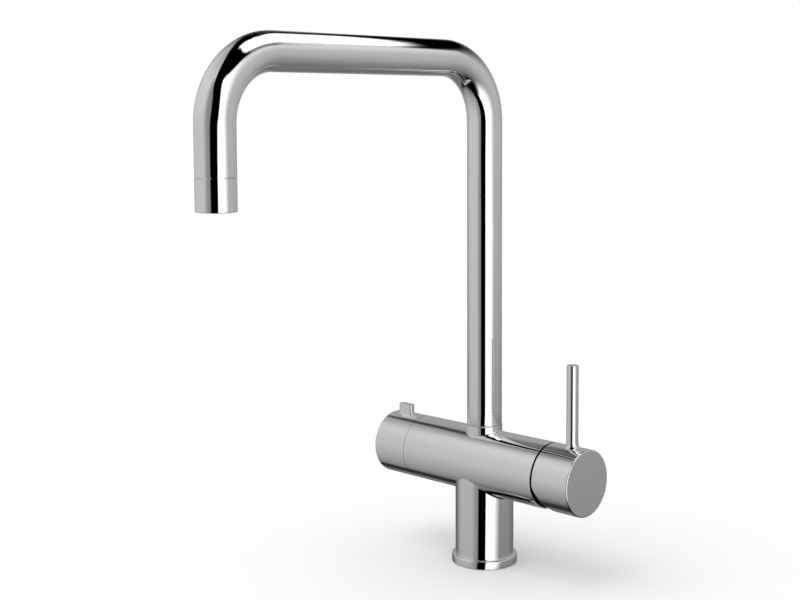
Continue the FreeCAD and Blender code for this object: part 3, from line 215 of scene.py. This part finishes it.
def toolRings(tree, place, look):
    # fine rings that a turning tool leaves
    rings = tree.nodes.new("ShaderNodeTexWave")
    rings.bands_direction = "Z"
    rings.inputs["Scale"].default_value = look["toolMarks"]
    rings.inputs["Distortion"].default_value = look["toolWander"]
    tree.links.new(place, rings.inputs["Vector"])
    return rings.outputs["Fac"]


def innerFinish(look):
    material, tree, shader = newMaterial(look["name"])
    place = objectPlace(tree)
    grain = noiseField(tree, place, *look["grain"])
    feed(tree, shader.inputs["Base Color"], tintBetween(tree, grain, look["dark"], look["light"]))
    feed(tree, shader.inputs["Roughness"], remap(tree, grain, *grainRange, *look["rough"]))
    shader.inputs["Metallic"].default_value = look["metal"]
    relief = toolRings(tree, place, look) if "toolMarks" in look else grain
    bumpFrom(tree, shader, relief, look["bump"], look["depth"])
    return material


finishes = {"polished_chrome": chromeFinish()}
for slotName, look in innerLooks.items():
    finishes[slotName] = innerFinish(look)
for nodeName, slotName in slotOfNode.items():
    piece = nodes[nodeName]
    piece.data.materials.clear()
    piece.data.materials.append(finishes[slotName])
print("finishes given to", len(slotOfNode), "pieces")


# shape helpers

sharpAngle = math.radians(30.0)  # faces that meet at more than this keep a sharp edge


def standIn(piece, node, body):
    # the piece stands for the node, rides on its body and takes its finish
    slotName = slotOfNode[node]
    piece.data.materials.append(finishes[slotName])
    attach(piece, body)
    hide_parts(node)


def meshData(name, mesh):
    data = bpy.data.meshes.new(name)
    mesh.to_mesh(data)
    mesh.free()
    return data


def addObject(name, data):
    thing = bpy.data.objects.new(name, data)
    bpy.context.scene.collection.objects.link(thing)
    return thing


def addRing(mesh, middle, across, up, radius, around):
    ring = []
    for step in range(around):
        turn = 2 * math.pi * step / around
        ring.append(mesh.verts.new(middle + radius * (math.cos(turn) * across + math.sin(turn) * up)))
    return ring


def skinnedPiece(name, mesh, rings):
    # faces from each ring to the next and from the last to the first, then the object
    for first, second in zip(rings, rings[1:] + rings[:1]):
        for i in range(len(first)):
            after = (i + 1) % len(first)
            mesh.faces.new((first[i], first[after], second[after], second[i]))
    bmesh.ops.recalc_face_normals(mesh, faces=mesh.faces)
    for face in mesh.faces:
        face.smooth = True
    for edge in mesh.edges:
        edge.smooth = edge.calc_face_angle(0.0) < sharpAngle
    return addObject(name, meshData(name, mesh))


# spout: one bent tube, from the collar's seam to the outlet sleeve

spoutSet = {
    "bendRadius": 0.0435, "wall": 0.0012, "sleeveHeight": 0.0197, "seam": 0.0003,
    "edge": 0.00025, "edgeMiddle": 0.3, "around": 144, "bendSteps": 72, "runSteps": 24,
}


def spoutLine(start, end, armHeight, reach):
    # places and directions along the middle of riser, bend, arm, bend and drop
    bend = spoutSet["bendRadius"]
    low = armHeight - bend
    line = []

    def run(first, last, direction):
        for step in range(spoutSet["runSteps"]):
            share = step / spoutSet["runSteps"]
            line.append((Vector((0, *first)).lerp(Vector((0, *last)), share), Vector((0, *direction))))

    def turn(middle, firstAngle, lastAngle):
        for step in range(spoutSet["bendSteps"]):
            angle = math.radians(firstAngle + (lastAngle - firstAngle) * step / spoutSet["bendSteps"])
            outward = Vector((0.0, math.cos(angle), math.sin(angle)))
            onward = Vector((0.0, -math.sin(angle), math.cos(angle)))
            line.append((Vector((0, *middle)) + bend * outward, onward))

    run((0, start), (0, low), (0, 1))
    turn((-bend, low), 0.0, 90.0)
    run((-bend, armHeight), (bend - reach, armHeight), (-1, 0))
    turn((bend - reach, low), 90.0, 180.0)
    run((-reach, low), (-reach, end), (0, -1))
    line.append((Vector((0, -reach, end)), Vector((0, 0, -1))))
    return line


def makeSpout():
    low, high = lowHigh("spout_tube")
    radius = high.x
    armHeight = high.z - radius
    reach = -low.y - radius
    end = lowHigh("aerator_housing")[0].z + spoutSet["sleeveHeight"] + spoutSet["seam"]
    line = spoutLine(low.z, end, armHeight, reach)
    edge = spoutSet["edge"]
    halfway = spoutSet["edgeMiddle"] * edge
    lips = [(radius - edge, 0.0), (radius - halfway, halfway), (radius, edge)]

    # the skin with a fine round at each end, then back along the bore
    (firstPlace, firstWay), (lastPlace, lastWay) = line[0], line[-1]
    stations = [(firstPlace + inset * firstWay, firstWay, size) for size, inset in lips]
    stations += [(place, way, radius) for place, way in line[1:-1]]
    stations += [(lastPlace - inset * lastWay, lastWay, size) for size, inset in reversed(lips)]
    stations += [(place, way, radius - spoutSet["wall"]) for place, way in reversed(line)]
    mesh = bmesh.new()
    side = Vector((1, 0, 0))
    rings = [addRing(mesh, place, side, side.cross(way), size, spoutSet["around"])
             for place, way, size in stations]
    standIn(skinnedPiece("spoutTube", mesh, rings), "spout_tube", "spout")


makeSpout()
print("spout made")


# base ring: turned, with a soft upper edge and a groove for the gasket

baseRingSet = {
    "softEdge": 0.0013, "fineEdge": 0.0002, "edgeSteps": 6, "around": 144,
    "bore": 0.02105, "lipRadius": 0.0190, "lipHeight": 0.0015,
    "grooveInner": 0.0212, "grooveOuter": 0.0228, "grooveHeight": 0.0010,
}


def roundedOutline(corners, steps):
    # corners are (radius, height, rounding); each rounding becomes an arc of that radius
    outline = []
    for i, (x, y, rounding) in enumerate(corners):
        here = Vector((x, y))
        if rounding <= 0.0:
            outline.append(here)
            continue
        before = (Vector(corners[i - 1][:2]) - here).normalized()
        after = (Vector(corners[(i + 1) % len(corners)][:2]) - here).normalized()
        opening = before.angle(after)
        reach = rounding / math.tan(opening / 2)
        middle = here + (before + after).normalized() * (rounding / math.sin(opening / 2))
        start = (here + before * reach - middle).normalized()
        end = (here + after * reach - middle).normalized()
        for step in range(steps + 1):
            outline.append(middle + rounding * start.slerp(end, step / steps))
    return outline


def makeBaseRing():
    look = baseRingSet
    low, high = lowHigh("base_ring")
    fine, lip, bore = look["fineEdge"], look["lipHeight"], look["bore"]
    corners = [
        (look["lipRadius"], low.z, fine), (look["lipRadius"], lip, fine), (bore, lip, 0.0),
        (bore, high.z, fine), (high.x, high.z, look["softEdge"]), (high.x, low.z, fine),
        (look["grooveOuter"], low.z, 0.0), (look["grooveOuter"], look["grooveHeight"], 0.0),
        (look["grooveInner"], look["grooveHeight"], 0.0), (look["grooveInner"], low.z, 0.0),
    ]
    mesh = bmesh.new()
    across, up = Vector((1, 0, 0)), Vector((0, 1, 0))
    rings = [addRing(mesh, Vector((0, 0, height)), across, up, radius, look["around"])
             for radius, height in roundedOutline(corners, look["edgeSteps"])]
    standIn(skinnedPiece("baseRing", mesh, rings), "base_ring", "tap_body")


makeBaseRing()
print("base ring made")


# light tent that the chrome reflects, in degrees from the camera's direction to its right

tentSet = {
    "radius": 0.70, "centre": (0.0, -0.12, 0.18), "around": 288, "up": 144,
    "frontBlend": (-20.0, 20.0), "rearBlendLeft": (110.0, 165.0), "rearBlendRight": (95.0, 150.0),
}

# wall brightness by elevation
leftWall = [
    (-90, 0.0), (-80, 0.01), (-74, 0.08), (-66, 0.19), (-58, 0.29), (-46, 0.37), (-36, 0.43), (-25, 0.49),
    (-10, 0.55), (10, 0.59), (30, 0.66), (42, 0.69), (55, 0.56), (66, 0.44), (76, 0.44), (81, 1.2),
    (90, 1.2),
]
rightWall = [
    (-90, 0.0), (-62, 0.0), (-57, 0.03), (-51, 0.09), (-46, 0.115), (-37, 0.22), (-28, 0.265), (-20, 0.31),
    (-10, 0.38), (0, 0.44), (10, 0.48), (22, 0.52), (30, 0.62), (38, 0.74), (50, 0.76), (60, 0.95),
    (75, 1.2), (90, 1.2),
]
backWall = [
    (-90, 0.0), (-80, 0.01), (-66, 0.03), (-60, 0.06), (-56, 0.11), (-50, 0.18), (-36, 0.18), (-26, 0.15),
    (-17, 0.20), (-8, 0.30), (0, 0.37), (10, 0.385), (28, 0.37), (38, 0.28), (45, 0.17), (52, 0.08),
    (60, 0.04), (78, 0.02), (84, 1.2), (90, 1.2),
]

# panels: left and right edge at each elevation, soft edges (left, right, bottom, top), brightness
tentPanels = [
    {"name": "archShade", "soft": (7, 16, 26, 1), "glow": 0.0,
     "edges": [(46, 109, 172), (62, 109, 172)]},
    {"name": "frontBox", "soft": (2, 34, 20, 2), "glow": 1.25,
     "edges": [(-34, 0, 36), (-10, 0, 41), (0, 0, 42), (20, 0, 34), (44, 0, 26)]},
    {"name": "flagShade", "soft": (25, 2, 6, 6), "glow": 0.28,
     "edges": [(-60, -34, 0), (46, -34, 0)]},
    {"name": "frontFlag", "soft": (7, 2.5, 6, 6), "glow": 0.0,
     "edges": [(-82, -50, 60), (-62, -36, 24), (-45, -25, 6), (-20, -21.5, 8), (0, -21, 8.7), (8, -22, 9),
               (16, -18, 16), (22, -16, 17), (30, -17, 13), (40, -22, 5), (46, -26, 2)]},
]

# canopies: lower and upper edge at each azimuth, soft edges and brightness as above
tentCanopies = [
    {"name": "overhead", "soft": (10, 10, 1.2, 1), "glow": 1.25,
     "edges": [(36, 66, 90), (45, 62, 90), (50, 58.6, 90), (60, 57, 90), (69, 56, 90), (83, 53.3, 90),
               (95, 51.5, 90), (102, 49.5, 90), (106, 47.3, 90), (112, 49.1, 90), (120, 51.9, 90),
               (128, 53.8, 90), (135, 54.7, 90), (150, 54.7, 90), (160, 54.2, 90)]},
    {"name": "overheadRim", "soft": (6, 14, 7, 1), "glow": 0.24,
     "edges": [(50, 50, 57), (60, 50, 56), (70, 49, 55), (80, 44, 51)]},
    {"name": "ceilingFlag", "soft": (12, 6, 4, 3), "glow": 0.0,
     "edges": [(-165, 58, 83), (-156, 54, 83), (-150, 57, 83), (-142, 62, 83), (-131, 66, 83),
               (-120, 69, 83), (-105, 71.5, 83), (-90, 72, 83), (-75, 71, 82.5), (-62, 69.5, 81),
               (-50, 66, 80), (-42, 60, 79.5), (-36, 52, 79), (-30, 43, 78.5), (-24, 37, 78),
               (-18, 35, 77.5), (-8, 40, 77), (4, 45, 75.5), (10, 48, 74), (20, 47, 70),
               (36, 47.5, 61), (44, 50, 56.5), (50, 52, 55.5)]},
]

# long thin cards, each from one place to another
tentStrips = [
    {"name": "ridgeFlag", "soft": 5.0, "glow": 0.06,
     "start": (-162, 34), "end": (-157, 54), "halfWidth": 2.0},
    {"name": "seamFlag", "soft": 5.0, "glow": 0.12,
     "start": (-150, -24), "end": (-157, -44), "halfWidth": 1.5},
    {"name": "footFlag", "soft": 7.0, "glow": 0.03,
     "start": (-157, -46), "end": (-163, -60), "halfWidth": 4.0},
]


def smooth(low, high, value):
    # rises softly from 0 at low to 1 at high
    share = np.clip((value - low) / np.maximum(high - low, 1e-6), 0.0, 1.0)
    return share * share * (3.0 - 2.0 * share)


def within(low, high, softLow, softHigh, value):
    # 1 between low and high, fading out beyond them
    return smooth(low - softLow, low, value) * (1.0 - smooth(high, high + softHigh, value))


def wallAt(table, elevation):
    return np.interp(elevation, *zip(*table))


def toward(azimuth, elevation):
    azimuth, elevation = math.radians(azimuth), math.radians(elevation)
    flat = math.cos(elevation)
    return np.array((math.sin(azimuth) * flat, -math.cos(azimuth) * flat, math.sin(elevation)))


def edgesAt(card, value):
    places = [row[0] for row in card["edges"]]
    return [np.interp(value, places, [row[side] for row in card["edges"]]) for side in (1, 2)]


def turnedTo(middle, azimuth):
    # the same azimuth, counted so that it lies within half a turn of the middle
    return (azimuth - middle + 180.0) % 360.0 - 180.0 + middle


def cover(card, azimuth, elevation, sides, ends):
    # how much of the tent a card with soft edges hides: 1 all of it, 0 nothing
    softLeft, softRight, softBottom, softTop = card["soft"]
    azimuth = turnedTo(sum(sides) / 2, azimuth)
    across = within(*sides, softLeft, softRight, azimuth)
    return across * within(*ends, softBottom, softTop, elevation)


def panelCover(card, azimuth, elevation):
    ends = (card["edges"][0][0], card["edges"][-1][0])
    return cover(card, azimuth, elevation, edgesAt(card, elevation), ends)


def canopyCover(card, azimuth, elevation):
    sides = (card["edges"][0][0], card["edges"][-1][0])
    return cover(card, azimuth, elevation, sides, edgesAt(card, turnedTo(sum(sides) / 2, azimuth)))


def stripCover(card, directions):
    # by the angle to the nearest place on the card's middle line
    start, end = toward(*card["start"]), toward(*card["end"])
    along = end - start
    share = np.clip((directions - start) @ along / (along @ along), 0.0, 1.0)
    nearest = start + share[:, None] * along
    gap = np.degrees(2.0 * np.arcsin(np.clip(np.linalg.norm(directions - nearest, axis=1) / 2.0, 0.0, 1.0)))
    return 1.0 - smooth(card["halfWidth"], card["halfWidth"] + card["soft"], gap)


def tentGlow(directions):
    elevation = np.degrees(np.arcsin(np.clip(directions[:, 2], -1.0, 1.0)))
    azimuth = np.degrees(np.arctan2(directions[:, 0], -directions[:, 1]))
    front = smooth(*tentSet["frontBlend"], azimuth)
    glow = wallAt(leftWall, elevation) * (1.0 - front) + wallAt(rightWall, elevation) * front
    rearLeft = smooth(*tentSet["rearBlendLeft"], -azimuth)
    rearRight = smooth(*tentSet["rearBlendRight"], azimuth)
    rear = np.where(azimuth < 0.0, rearLeft, rearRight)
    glow = glow * (1.0 - rear) + wallAt(backWall, elevation) * rear
    shares = [(card, panelCover(card, azimuth, elevation)) for card in tentPanels]
    shares += [(card, canopyCover(card, azimuth, elevation)) for card in tentCanopies]
    shares += [(card, stripCover(card, directions)) for card in tentStrips]
    for card, share in shares:
        glow = glow * (1.0 - share) + card["glow"] * share
    return glow


def makeTent():
    mesh = bmesh.new()
    bmesh.ops.create_uvsphere(mesh, u_segments=tentSet["around"], v_segments=tentSet["up"], radius=1.0)
    data = meshData("lightTent", mesh)
    directions = np.empty(len(data.vertices) * 3)
    data.vertices.foreach_get("co", directions)
    values = tentGlow(directions.reshape(-1, 3))
    glow = data.attributes.new("glow", "FLOAT", "POINT")
    glow.data.foreach_set("value", values.astype(np.float32))
    tent = addObject("lightTent", data)
    tent.scale = (tentSet["radius"],) * 3
    tent.location = tentSet["centre"]
    tent.rotation_euler = (0.0, 0.0, math.radians(cameraSet["turn"]))
    material = bpy.data.materials.new("tentCloth")
    material.use_nodes = True
    tree = material.node_tree
    tree.nodes.clear()
    output = tree.nodes.new("ShaderNodeOutputMaterial")
    light = tree.nodes.new("ShaderNodeEmission")
    level = tree.nodes.new("ShaderNodeAttribute")
    level.attribute_name = "glow"
    tree.links.new(level.outputs["Fac"], light.inputs["Strength"])
    tree.links.new(light.outputs[0], output.inputs["Surface"])
    material.cycles.emission_sampling = "NONE"
    data.materials.append(material)
    tent.visible_camera = False
    tent.visible_diffuse = False
    tent.visible_shadow = False
    tent.visible_volume_scatter = False


# studio: pale floor, white world and soft sun

floorSet = {"half": 30.0, "squares": 12, "colour": (0.97, 0.97, 0.97), "drop": 0.0002}


def makeFloor():
    mesh = bmesh.new()
    squares = floorSet["squares"]
    bmesh.ops.create_grid(mesh, x_segments=squares, y_segments=squares, size=floorSet["half"])
    floor = addObject("paleFloor", meshData("paleFloor", mesh))
    floor.location = (0.0, 0.0, -floorSet["drop"])
    material, tree, shader = newMaterial("paleFloor")
    feed(tree, shader.inputs["Base Color"], floorSet["colour"])
    shader.inputs["Roughness"].default_value = 1.0
    shader.inputs["Specular IOR Level"].default_value = 0.0
    floor.data.materials.append(material)
    floor.visible_glossy = False


worldSet = {"fill": 0.84}


def makeWorld():
    # white to the camera and to reflections, a plain level of fill to everything else
    world = bpy.data.worlds.new("paleStudio")
    bpy.context.scene.world = world
    world.use_nodes = True
    tree = world.node_tree
    background = tree.nodes["Background"]
    feed(tree, background.inputs["Color"], (1.0, 1.0, 1.0))
    path = tree.nodes.new("ShaderNodeLightPath").outputs
    seen = combine(tree, "MAXIMUM", path["Is Camera Ray"], path["Is Glossy Ray"])
    seen = combine(tree, "MAXIMUM", seen, path["Is Transmission Ray"])
    feed(tree, background.inputs["Strength"], remap(tree, seen, 0.0, 1.0, worldSet["fill"], 1.0))


sunSet = {"strength": 0.72, "angle": 40.0, "turn": -28.0, "height": 62.0, "distance": 2.0}


def makeSun():
    light = bpy.data.lights.new("softSun", "SUN")
    light.energy = sunSet["strength"]
    light.angle = math.radians(sunSet["angle"])
    sun = addObject("softSun", light)
    toSun = Vector(toward(sunSet["turn"], sunSet["height"]))
    sun.rotation_euler = toSun.to_track_quat("Z", "Y").to_euler()
    sun.location = sunSet["distance"] * toSun
    sun.visible_glossy = False


# camera at the photograph's viewing angle; turn, pitch and roll in degrees, lens and sensor in mm

cameraSet = {
    "place": (0.61841, -0.72075, 0.32370), "turn": 44.27, "pitch": 5.23, "roll": -0.31,
    "lens": 60.05, "sensor": 36.0, "shift": -0.08, "near": 0.02, "far": 100.0,
}


def makeCamera():
    data = bpy.data.cameras.new("photoCamera")
    data.lens = cameraSet["lens"]
    data.sensor_width = cameraSet["sensor"]
    data.shift_y = cameraSet["shift"]
    data.clip_start = cameraSet["near"]
    data.clip_end = cameraSet["far"]
    camera = addObject("photoCamera", data)
    turned = Matrix.Rotation(math.radians(cameraSet["turn"]), 4, "Z")
    tipped = Matrix.Rotation(math.radians(90.0 - cameraSet["pitch"]), 4, "X")
    rolled = Matrix.Rotation(math.radians(cameraSet["roll"]), 4, "Z")
    camera.matrix_world = Matrix.Translation(cameraSet["place"]) @ turned @ tipped @ rolled
    bpy.context.scene.camera = camera


makeTent()
makeFloor()
makeWorld()
makeSun()
makeCamera()
bpy.context.scene.view_settings.view_transform = "Standard"
print("studio ready")
